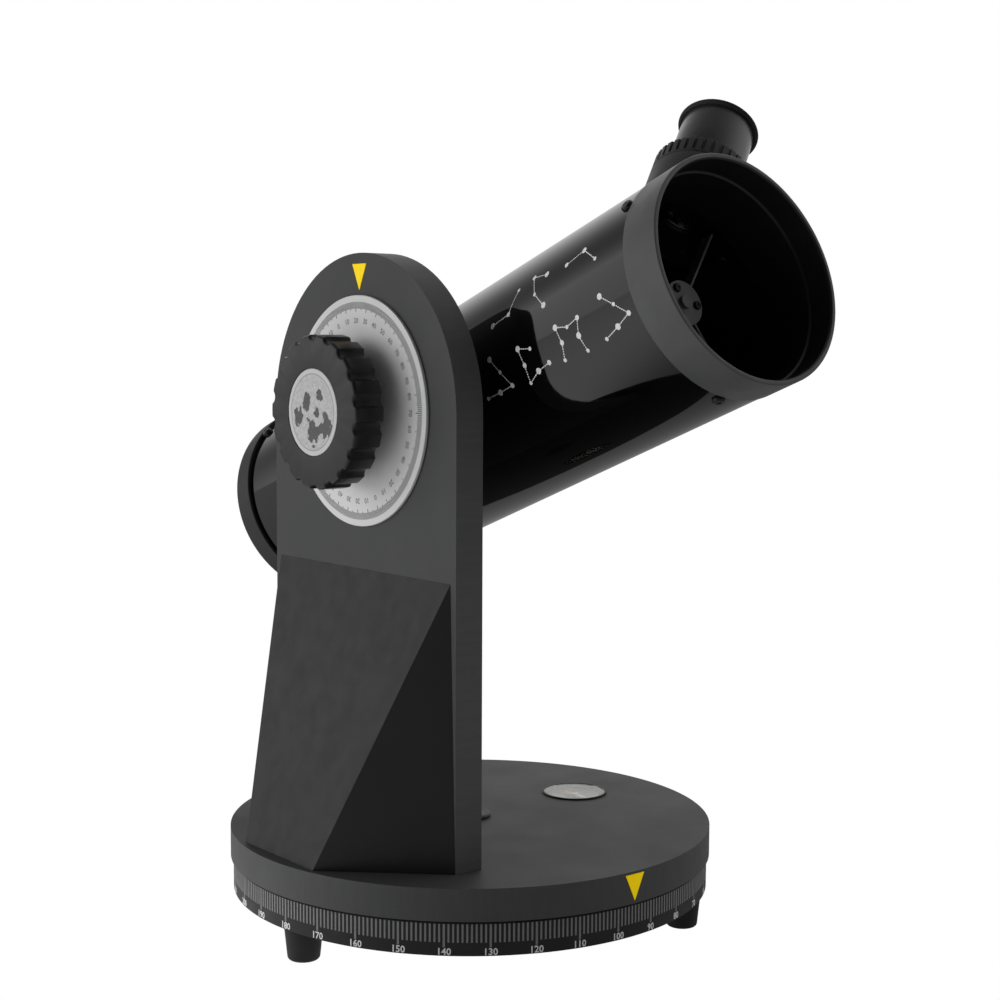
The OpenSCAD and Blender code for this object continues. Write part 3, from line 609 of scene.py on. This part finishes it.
def radial_silver(name, where):
    """Silver printed card with marks drawn out towards its centre."""
    f = Finish(name)
    x, y, _ = f.local(where)
    angle = f.math("ARCTAN2", y, x)
    rays = f.node("ShaderNodeTexNoise", noise_dimensions="1D")
    rays.inputs["Scale"].default_value = 30
    f.put(angle, rays.inputs["W"])
    share = f.spread(rays.outputs["Fac"], 0.3, 0.7)
    f.set("Base Color", f.mix(share, (0.09, 0.09, 0.078, 1), (0.19, 0.19, 0.165, 1)))
    f.set("Metallic", 0.2)
    f.set("Roughness", f.spread(share, 0, 1, 0.35, 0.5))
    f.relief((rays.outputs["Fac"], 0.004))
    return f.material


label_radius = radii("knob_label", AXLE)[1]

FINISHES = {
    "board": laminate("board", 2),
    "scale_print": moulded("scale_print", 0.030, 0.50, grain=0.6, depth=0.006, specular=0.15),
    "rubber": moulded("rubber", 0.016, 0.70, grain=0.5, depth=0.02, specular=0.35),
    "steel": metal("steel", (0.55, 0.56, 0.58), 0.34),
    "nylon": moulded("nylon", 0.62, 0.50, grain=0.8, depth=0.006, warmth=0.03),
    "black_plastic": moulded("black_plastic", 0.036, 0.50, specular=0.25),
    "brace_plastic": moulded(
        "brace_plastic", 0.018, 0.40, grain=0.6, depth=0.006, mottle=0.04, specular=0.28,
    ),
    "yellow_film": film("yellow_film"),
    "compass_card": radial_silver("compass_card", COMPASS),
    "clear": glass("clear", (0.96, 0.98, 0.98, 1)),
    "needle": needle_paint("needle"),
    "brass": metal("brass", (0.72, 0.50, 0.20), 0.28),
    "tube_gloss": lacquer("tube_gloss"),
    "flat_black": moulded("flat_black", 0.004, 0.80, specular=0.12),
    "mirror": mirror("mirror"),
    "felt": cork("felt"),
    "dial_print": moulded("dial_print", 0.80, 0.45, grain=0.5, depth=0.004, mottle=0.03, warmth=0.0),
    "label_print": blotched_disc("label_print", AXLE, label_radius),
    "eyepiece_black": moulded("eyepiece_black", 0.030, 0.27, grain=0.35, depth=0.004),
    "chromed": metal("chromed", (0.72, 0.73, 0.75), 0.12),
    "black_screw": metal("black_screw", (0.030, 0.030, 0.032), 0.40, metallic=0.6),
}
# Painted light: the upright's edges are much lighter than the boards' edge banding, in place of the light on its
# front edge.
ARM_LAMINATE = laminate("board_upright", 0, edge=0.115)
COLLAR_PLASTIC = moulded("collar_plastic", 0.096, 0.46, specular=0.30)
# Painted shade: the collar's inside is far darker than its outside, in place of the shade inside the tube's mouth.
COLLAR_INSIDE = moulded("collar_inside", 0.011, 0.45, specular=0.4)
SPIDER_PLASTIC = spider_paint("spider_plastic")
COMPASS_WINDOW = glass("compass_window", (0.94, 0.94, 0.90, 1), rough=0.05, index=1.25)
KNOB_PLASTIC = moulded("knob_plastic", 0.016, 0.31, grain=0.6, depth=0.006, specular=0.34)
DARK_INK = ink("dark_ink", tone(0.12))
TICK_INK = ink("tick_ink", tone(0.27))
DIAL_TICK_INK = ink("dial_tick_ink", tone(0.15))
WHITE_INK = ink("white_ink", tone(0.95))
FIGURE_INK = ink("figure_ink", tone(0.95))

for node, part in NODES.items():
    part.material_slots[0].material = FINISHES[SLOT_OF[node]]
NODES["arm_panel"].material_slots[0].material = ARM_LAMINATE
NODES["spider"].material_slots[0].material = SPIDER_PLASTIC
NODES["compass_lens"].material_slots[0].material = COMPASS_WINDOW
NODES["secondary_holder"].material_slots[0].material = SPIDER_PLASTIC


# ---- Base boards, band, feet and caps: the CAD shapes with softened edges ----

for node, width in {
    "ground_board": 0.6,
    "turntable_board": 0.8,
    "arm_panel": 0.8,
    "arm_brace": 0.7,
    "azimuth_scale_band": 0.1,
    "rubber_feet": 0.6,
    "pivot_cap": 0.4,
    "rear_cell": 0.9,
    "tube_bracket": 0.8,
    "spider": 0.2,
    "secondary_holder": 0.3,
    "drawtube": 0.2,
    "eyepiece_barrel": 0.15,
    "altitude_axle": 0.3,
    "azimuth_bolt": 0.4,
    "azimuth_lock_nut": 0.4,
    "mirror_clips": 0.2,
    "base_pointer": 0.05,
    "arm_pointer": 0.05,
}.items():
    soften(node, width)


# ---- Tube ----

def paint_inside(mesh, outside, inside, limit):
    """Gives the faces nearer to the tube's axis than a limit a finish of their own."""
    mesh.materials.clear()
    mesh.materials.append(outside)
    mesh.materials.append(inside)
    into = TUBE.inverted()
    for face in mesh.polygons:
        centre = (into @ face.center) / MM
        if math.hypot(centre.x, centre.y) < limit:
            face.material_index = 1


def build_tube():
    """Gloss tube with a flat black inside and the opening under the focuser."""
    low, high = heights("tube_shell", TUBE)
    inner, outer = radii("tube_shell", TUBE)
    wall_edge = 0.35
    profile = [
        (inner, low, wall_edge),
        (outer, low, wall_edge),
        (outer, high, wall_edge),
        (inner, high, wall_edge),
    ]
    mesh = turned("tube", profile, TUBE, 384)
    opening = 17
    mesh = cut(mesh, [(EYE, opening, outer / 2, outer * 1.3)])
    paint_inside(mesh, FINISHES["tube_gloss"], FINISHES["flat_black"], (inner + outer) / 2)
    add_piece("tube", "optical_tube", "tube_gloss", mesh, stands_for=["tube_shell"])


def build_primary():
    """Primary mirror with a smooth hollow face in place of the CAD's coarse steps."""
    low, edge = heights("primary_mirror", TUBE)
    radius = radii("primary_mirror", TUBE)[1]
    points = points_of("primary_mirror", TUBE)
    face = points[points[:, 2] > low + 1]
    inmost = face[np.argmin(np.hypot(face[:, 0], face[:, 1]))]
    share = float(np.hypot(inmost[0], inmost[1])) / radius
    centre = (float(inmost[2]) - edge * share ** 2) / (1 - share ** 2)
    steps = 48
    profile = [(0, low), (radius, low, 0.5), (radius, edge)]
    for step in range(steps - 1, -1, -1):
        share = step / steps
        profile.append((radius * share, centre + (edge - centre) * share ** 2))
    mesh = turned("mirror_disc", profile, TUBE, 192)
    add_piece("mirror_disc", "optical_tube", "mirror", mesh, sharp=20, stands_for=["primary_mirror"])


def build_collar():
    """Front collar: a sleeve in the tube, a band over its end, and a stepped mouth."""
    low, high = heights("front_collar", TUBE)
    inner, outer = radii("front_collar", TUBE)
    seat = heights("tube_shell", TUBE)[1]
    spigot = radii("tube_shell", TUBE)[0] - 0.05
    step = high - 12.8
    profile = [
        (spigot, low),
        (spigot, seat),
        (outer, seat, 0.3),
        (outer, high, 0.7),
        (outer - 1.9, high, 0.5),
        (outer - 2.6, high - 0.9, 0.4),
        (outer - 2.8, step + 0.7, 0.3),
        (inner, step, 0.2),
        (inner, low),
    ]
    mesh = turned("collar", profile, TUBE, 384)
    paint_inside(mesh, COLLAR_PLASTIC, COLLAR_INSIDE, outer - 2.2)
    add_piece("collar", "optical_tube", "black_plastic", mesh, stands_for=["front_collar"])


def build_scale():
    """Azimuth band with its degree ticks and numerals, read at the pointer of the upper board."""
    low, high = heights("azimuth_scale_band", BASE)
    inner, outer = radii("azimuth_scale_band", BASE)
    profile = [(inner, low), (outer, low, 0.1), (outer, high, 0.1), (inner, high)]
    band = turned("scale_band", profile, BASE, 360)
    add_piece("scale_band", "ground_base", "scale_print", band, stands_for=["azimuth_scale_band"])

    def wrap(x, y, level):
        radius = outer - PRINT_SINK + PRINT_THICKNESS * level
        return radius * math.cos(x / outer), radius * math.sin(x / outer), y

    depth = high - low
    long_share, short_share, number_share = 0.73, 0.58, 0.86
    reading_at_pointer = 96
    ticks = []
    numbers = []
    for degree in range(360):
        x = math.radians(reading_at_pointer - degree - 90) * outer
        long_tick = degree % 10 == 0
        foot = high - depth * (long_share if long_tick else short_share)
        width = 1.0 if long_tick else 0.85
        ticks.append(block(x - width / 2, x + width / 2, foot, high - 0.15))
        if long_tick:
            numbers.append(numeral(str(degree), x, high - depth * number_share, 3.05, weight=0.02))
    add_print("scale_ticks", "ground_base", "scale_print", TICK_INK, ticks, wrap, BASE)
    add_print("scale_numbers", "ground_base", "scale_print", WHITE_INK, numbers, wrap, BASE)


def build_dial():
    """Altitude dial with a bevelled rim, degree ticks and numerals for each quarter turn."""
    low, high = heights("setting_circle", AXLE)
    bore, outer = radii("setting_circle", AXLE)
    mesh = turned("dial", [(bore, low), (outer, low, 0.2), (outer, high, 0.35), (bore, high)], AXLE, 360)
    add_piece("dial", "optical_tube", "dial_print", mesh, stands_for=["setting_circle"])

    def wrap(x, y, level):
        return x, y, high - PRINT_SINK + PRINT_THICKNESS * level

    tick_outer = outer - 3.1
    tick_inner = outer - 6.3
    number_radius = outer - 11.8
    ticks = []
    numbers = []
    for step in range(360):
        angle = math.radians(90 - step) + rest_altitude
        foot = tick_inner - (1.5 if step % 10 == 0 else 0.6 if step % 5 == 0 else 0)
        along = Vector((math.cos(angle), math.sin(angle)))
        side = Vector((-along.y, along.x)) * 0.22
        near, far = along * foot, along * tick_outer
        ticks.append(prism([near - side, far - side, far + side, near + side]))
        if step % 10 == 0:
            quarter = step % 180
            value = quarter if quarter <= 90 else 180 - quarter
            spot = along * number_radius
            numbers.append(numeral(str(value), spot.x, spot.y, 2.5, angle - math.pi / 2))
    add_print("dial_ticks", "optical_tube", "dial_print", DIAL_TICK_INK, ticks, wrap, AXLE)
    add_print("dial_numbers", "optical_tube", "dial_print", DARK_INK, numbers, wrap, AXLE)


def build_knob():
    """Clamp knob with scooped lobes, a hub behind it and a recess for the label."""
    low, high = heights("altitude_knob", AXLE)
    outer = radii("altitude_knob", AXLE)[1]
    bore = radii("knob_insert", AXLE)[1] + 0.02
    bore_end = heights("knob_insert", AXLE)[1] + 0.1
    rear = high - 15.4
    hub = 15
    recess = label_radius + 0.2
    seat = heights("knob_label", AXLE)[0] - 0.05
    flutes, flute_radius, flute_depth = 18, 3.6, 1.9
    flute_centre = outer + flute_radius - flute_depth

    def scooped(angles, radius, height):
        if radius[0] < outer - 3:
            return radius
        pitch = 2 * math.pi / flutes
        off = (angles + pitch) % pitch - pitch / 2
        across = flute_centre * np.sin(off)
        inside = np.clip(flute_radius ** 2 - across ** 2, 0, None)
        scoop = np.where(inside > 0, flute_centre * np.cos(off) - np.sqrt(inside), outer + 9)
        soft = 0.28
        bottom = np.minimum(scoop, outer)
        blend = np.clip(0.5 - np.abs(scoop - outer) / (4 * soft), 0, None)
        return radius - (outer - bottom) - blend * blend * soft

    profile = [
        (0, bore_end),
        (bore, bore_end),
        (bore, low),
        (hub, low, 0.4),
        (hub, rear, 0.8),
        (outer, rear, 1.2),
        (outer, high, 2.0),
        (recess, high, 0.25),
        (recess, seat),
        (0, seat),
    ]
    mesh = turned("knob", profile, AXLE, flutes * 28, scooped)
    mesh.materials.append(KNOB_PLASTIC)
    add_piece("knob", "clamp_knob", "black_plastic", mesh, sharp=40, stands_for=["altitude_knob"])
    low, high = heights("knob_label", AXLE)
    disc_mesh = turned("label", [(0, low), (label_radius, low), (label_radius, high, 0.3), (0, high)], AXLE)
    add_piece("label", "clamp_knob", "label_print", disc_mesh, stands_for=["knob_label"])


def build_turret():
    """Turret: a straight wall on a thin flange that hugs the tube, and a lip that holds the ring."""
    bore = radii("drawtube", EYE)[1] + 0.06
    lip_top = heights("focuser_base", EYE)[1]
    top = heights("focus_ring", EYE)[0] - 0.3
    tube_outer = radii("tube_shell", TUBE)[1] + 0.02
    angles = np.arange(288) * 2 * math.pi / 288
    wall, flange, thickness, fillet = 23.9, 28.4, 1.6, 2.5
    lip = bore + 2.64

    def saddle_ring(radius, lift):
        across = radius * np.cos(angles)
        height = np.sqrt((tube_outer + lift) ** 2 - across ** 2)
        return np.column_stack((across, radius * np.sin(angles), height))

    rings = [saddle_ring(bore, 0), saddle_ring(flange, 0)]
    rim = [(flange, 0), (flange, thickness, 0.5), (wall, thickness)]
    for radius, lift in rounded(rim, closed=False)[1:-1]:
        rings.append(saddle_ring(radius, lift))
    for degrees in range(0, 91, 15):
        angle = math.radians(degrees)
        radius = wall + fillet * (1 - math.sin(angle))
        rings.append(saddle_ring(radius, thickness + fillet * (1 - math.cos(angle))))
    for radius, height in rounded([
        (wall, top - 5),
        (wall, top, 0.5),
        (lip - 0.8, top, 0.1),
        (lip - 0.8, lip_top - 2.5),
        (lip, lip_top - 2.5),
        (lip, lip_top, 0.3),
        (bore, lip_top),
    ], closed=False):
        rings.append(flat_ring(angles, radius, height))
    mesh = skin("turret", rings, EYE)
    add_piece("turret", "optical_tube", "black_plastic", mesh, stands_for=["focuser_base"])


def build_ring():
    """Ribbed focusing ring that turns on the turret."""
    bore = radii("drawtube", EYE)[1] + 0.06
    lip_top = heights("focuser_base", EYE)[1]
    lip = bore + 2.64
    ring_bottom, ring_top = heights("focus_ring", EYE)
    ring_outer = radii("focus_ring", EYE)[1]
    notches, notch_width, notch_depth = 36, 1.5, 0.9
    ledge = ring_bottom + 1.2

    def notched(angles, radius, height):
        if height < ledge:
            return radius
        pitch = 2 * math.pi / notches
        off = np.abs((angles + pitch / 2) % pitch - pitch / 2) * ring_outer
        share = np.clip((notch_width / 2 + 0.12 - off) / 0.24, 0, 1)
        share = share * share * (3 - 2 * share)
        return np.minimum(radius, ring_outer - notch_depth * share)

    profile = [
        (lip - 0.7, ring_bottom),
        (ring_outer, ring_bottom, 0.6),
        (ring_outer, ledge - 0.02),
        (ring_outer, ledge + 0.02),
        (ring_outer, ring_top, 0.5),
        (ring_outer - 1.2, ring_top),
        (bore, ring_top, 0.3),
        (bore, lip_top + 0.4),
        (lip + 0.1, lip_top + 0.4),
        (lip + 0.1, lip_top - 2.7),
        (lip - 0.7, lip_top - 2.7),
    ]
    mesh = turned("ring", profile, EYE, notches * 24, notched)
    add_piece("ring", "focus_wheel", "black_plastic", mesh, stands_for=["focus_ring"])


def build_eyepiece():
    """Eyepiece body and the flanged cup on its end."""
    low, high = heights("eyepiece_body", EYE)
    outer = radii("eyepiece_body", EYE)[1]
    barrel = radii("eyepiece_barrel", EYE)[1] + 0.02
    barrel_top = heights("eyepiece_barrel", EYE)[1] + 0.02
    cell = radii("eye_lens", EYE)[1] + 0.02
    opening = radii("eyepiece_body", EYE)[0]
    profile = [
        (barrel, low),
        (outer, low, 0.5),
        (outer, high, 0.2),
        (opening, high, 0.2),
        (opening, high - 3.5),
        (cell, high - 3.5),
        (cell, barrel_top),
        (barrel, barrel_top),
    ]
    mesh = turned("eyepiece_housing", profile, EYE)
    add_piece("eyepiece_housing", "eyepiece", "eyepiece_black", mesh, stands_for=["eyepiece_body"])
    low, high = heights("eyecup", EYE)
    outer = radii("eyecup", EYE)[1]
    profile = [
        (opening + 0.4, low),
        (outer - 1.2, low, 0.3),
        (outer, low + 1.0, 0.8),
        (outer, high, 0.7),
        (outer - 2.2, high, 0.7),
        (14, high - 0.9, 2),
        (opening + 0.4, high - 1.6, 0.3),
    ]
    mesh = turned("cup", profile, EYE)
    add_piece("cup", "eyepiece", "rubber", mesh, stands_for=["eyecup"])


# Invented star figures on the tube: how many stars each one joins, and how large its stars are in turn.
STARS_IN_FIGURES = (5, 3, 6, 4, 7, 3, 5)
STAR_RADII = (1.45, 0.95, 1.2)


def figure_stars(number, count):
    """Stars of one figure in millimetres: part of a ring, with every other star drawn in."""
    stars = []
    for k in range(count):
        turn = number + 2 * math.pi * k / (count + 1)
        reach = 10.5 if k % 2 == 0 else 5.5
        stars.append((reach * math.cos(turn), reach * math.sin(turn)))
    return stars


def build_figures():
    """Stars joined by broken lines in two rows, printed on the arm side of the tube."""
    outer = radii("tube_shell", TUBE)[1]

    def wrap(x, y, level):
        radius = outer - PRINT_SINK + PRINT_THICKNESS * level
        return radius * math.sin(x / outer), radius * math.cos(x / outer), y

    row_angles = (-100, -66)
    first, pitch = 66, 13.5
    shapes = []
    for number, count in enumerate(STARS_IN_FIGURES):
        middle_x = math.radians(row_angles[number % 2]) * outer
        middle_y = first + pitch * number
        spots = [(middle_x + x, middle_y + y) for x, y in figure_stars(number, count)]
        for k, (x, y) in enumerate(spots):
            shapes.append(disc(x, y, STAR_RADII[(k + number) % 3]))
        for near, far in zip(spots, spots[1:]):
            shapes += dashes(near, far, 0.52, 0.80, 0.32)
    add_print("star_figures", "optical_tube", "tube_gloss", FIGURE_INK, shapes, wrap, TUBE)


def build_compass_print():
    """Degree marks on the compass card."""
    top = heights("compass_card", COMPASS)[1]
    rim = radii("compass_card", COMPASS)[1]

    def wrap(x, y, level):
        return x, y, top - PRINT_SINK + PRINT_THICKNESS * level

    shapes = []
    for step in range(72):
        angle = math.radians(step * 5)
        along = Vector((math.cos(angle), math.sin(angle)))
        length = 3.6 if step % 18 == 0 else 2.4 if step % 6 == 0 else 1.2
        side = Vector((-along.y, along.x)) * (0.35 if step % 18 == 0 else 0.14)
        near, far = along * (rim - 0.8 - length), along * (rim - 0.8)
        shapes.append(prism([near - side, far - side, far + side, near + side]))
    add_print("compass_marks", "turntable", "compass_card", DARK_INK, shapes, wrap, COMPASS)


build_tube()
build_primary()
build_collar()
build_scale()
build_dial()
build_knob()
build_turret()
build_ring()
build_eyepiece()
build_figures()
build_compass_print()

# ---- Camera, floor and light ----

def build_camera():
    azimuth, pitch, roll = math.radians(-39.3), math.radians(5.09), math.radians(0.26)
    target = Vector((7.8, -12.8, 207.7)) * MM
    distance = 866 * MM
    level = math.cos(pitch)
    back = Vector((math.sin(azimuth) * level, -math.cos(azimuth) * level, math.sin(pitch)))
    data = bpy.data.cameras.new("camera")
    data.lens = 63
    data.sensor_width = 36
    data.clip_start = 0.01
    camera = bpy.data.objects.new("camera", data)
    bpy.context.scene.collection.objects.link(camera)
    camera.rotation_mode = "QUATERNION"
    camera.location = target + back * distance
    camera.rotation_quaternion = back.to_track_quat("Z", "Y") @ Matrix.Rotation(roll, 3, "Z").to_quaternion()
    bpy.context.scene.camera = camera


# Soft glows of the studio: azimuth and elevation of where they come from in degrees, strength, tightness.
GLOWS = [
    (0, 42, 0.68, 5),
    (60, 42, 0.40, 5),
    (72, 23, 0.30, 25),
    (40, 14, 0.62, 5),
    (320, 8, 0.62, 5),
    (140, 5, 2.6, 12),
    (155, 5, 1.4, 12),
]
# Polished surfaces show the glows no brighter than the paper of the backdrop.
SHEEN_LIMIT = 1.25
FLOOR_GLOW = 0.30
# The floor is brighter on the side of the strongest glow: its azimuth, and how much brighter.
LIT_FLOOR_AZIMUTH = 162
LIT_FLOOR_GLOW = 0.85
LIT_FLOOR_TIGHTNESS = 5.0


def build_floor():
    mesh = bpy.data.meshes.new("floor")
    half = 6.0
    below = -0.0004
    corners = [(-half, -half, below), (half, -half, below), (half, half, below), (-half, half, below)]
    mesh.from_pydata(corners, [], [(0, 1, 2, 3)])
    floor = bpy.data.objects.new("floor", mesh)
    bpy.context.scene.collection.objects.link(floor)
    f = Finish("floor")
    f.set("Base Color", tone(0.0))
    f.set("Specular IOR Level", 0.0)
    f.set("Emission Color", tone(1.0))
    outward = f.node("ShaderNodeVectorMath", operation="NORMALIZE")
    f.put(f.coords.outputs["Object"], outward.inputs[0])
    toward = f.node("ShaderNodeVectorMath", operation="DOT_PRODUCT")
    f.put(outward.outputs["Vector"], toward.inputs[0])
    lit = math.radians(LIT_FLOOR_AZIMUTH)
    toward.inputs[1].default_value = (math.cos(lit), math.sin(lit), 0)
    fall = f.math("MULTIPLY", f.math("SUBTRACT", toward.outputs["Value"], 1.0), LIT_FLOOR_TIGHTNESS)
    glow = f.math("ADD", f.math("MULTIPLY", f.math("EXPONENT", fall), LIT_FLOOR_GLOW), FLOOR_GLOW)
    seen = f.node("ShaderNodeLightPath").outputs["Is Camera Ray"]
    f.set("Emission Strength", f.math("MAXIMUM", seen, f.math("MULTIPLY", glow, f.spread(seen, 0, 1, 1, 0))))
    mesh.materials.append(f.material)


def build_world():
    """White to the camera; a dark room with soft glows around it to everything else."""
    world = bpy.data.worlds.new("studio")
    world.use_nodes = True
    bpy.context.scene.world = world
    tree = world.node_tree
    direction = tree.nodes.new("ShaderNodeTexCoord").outputs["Generated"]

    def math_node(operation, a, b=0.0):
        node = tree.nodes.new("ShaderNodeMath")
        node.operation = operation
        for socket, value in zip(node.inputs, (a, b)):
            if isinstance(value, bpy.types.NodeSocket):
                tree.links.new(value, socket)
            else:
                socket.default_value = value
        return node.outputs[0]

    total = 0.0
    for azimuth, elevation, strength, tightness in GLOWS:
        azimuth, elevation = math.radians(azimuth), math.radians(elevation)
        toward = tree.nodes.new("ShaderNodeVectorMath")
        toward.operation = "DOT_PRODUCT"
        toward.inputs[1].default_value = (
            math.cos(elevation) * math.cos(azimuth),
            math.cos(elevation) * math.sin(azimuth),
            math.sin(elevation),
        )
        tree.links.new(direction, toward.inputs[0])
        fall = math_node("MULTIPLY", math_node("SUBTRACT", toward.outputs["Value"], 1.0), tightness)
        total = math_node("ADD", total, math_node("MULTIPLY", math_node("EXPONENT", fall), strength))
    rays = tree.nodes.new("ShaderNodeLightPath").outputs
    open_limit = 100.0
    lowered = math_node("MULTIPLY", rays["Is Glossy Ray"], open_limit - SHEEN_LIMIT)
    limit = math_node("SUBTRACT", open_limit, lowered)
    total = math_node("MINIMUM", total, limit)
    seen = rays["Is Camera Ray"]
    background = tree.nodes["Background"]
    tree.links.new(math_node("MAXIMUM", total, seen), background.inputs["Strength"])
    background.inputs["Color"].default_value = tone(1.0)


build_camera()
build_floor()
build_world()
bpy.context.scene.view_settings.view_transform = "Standard"
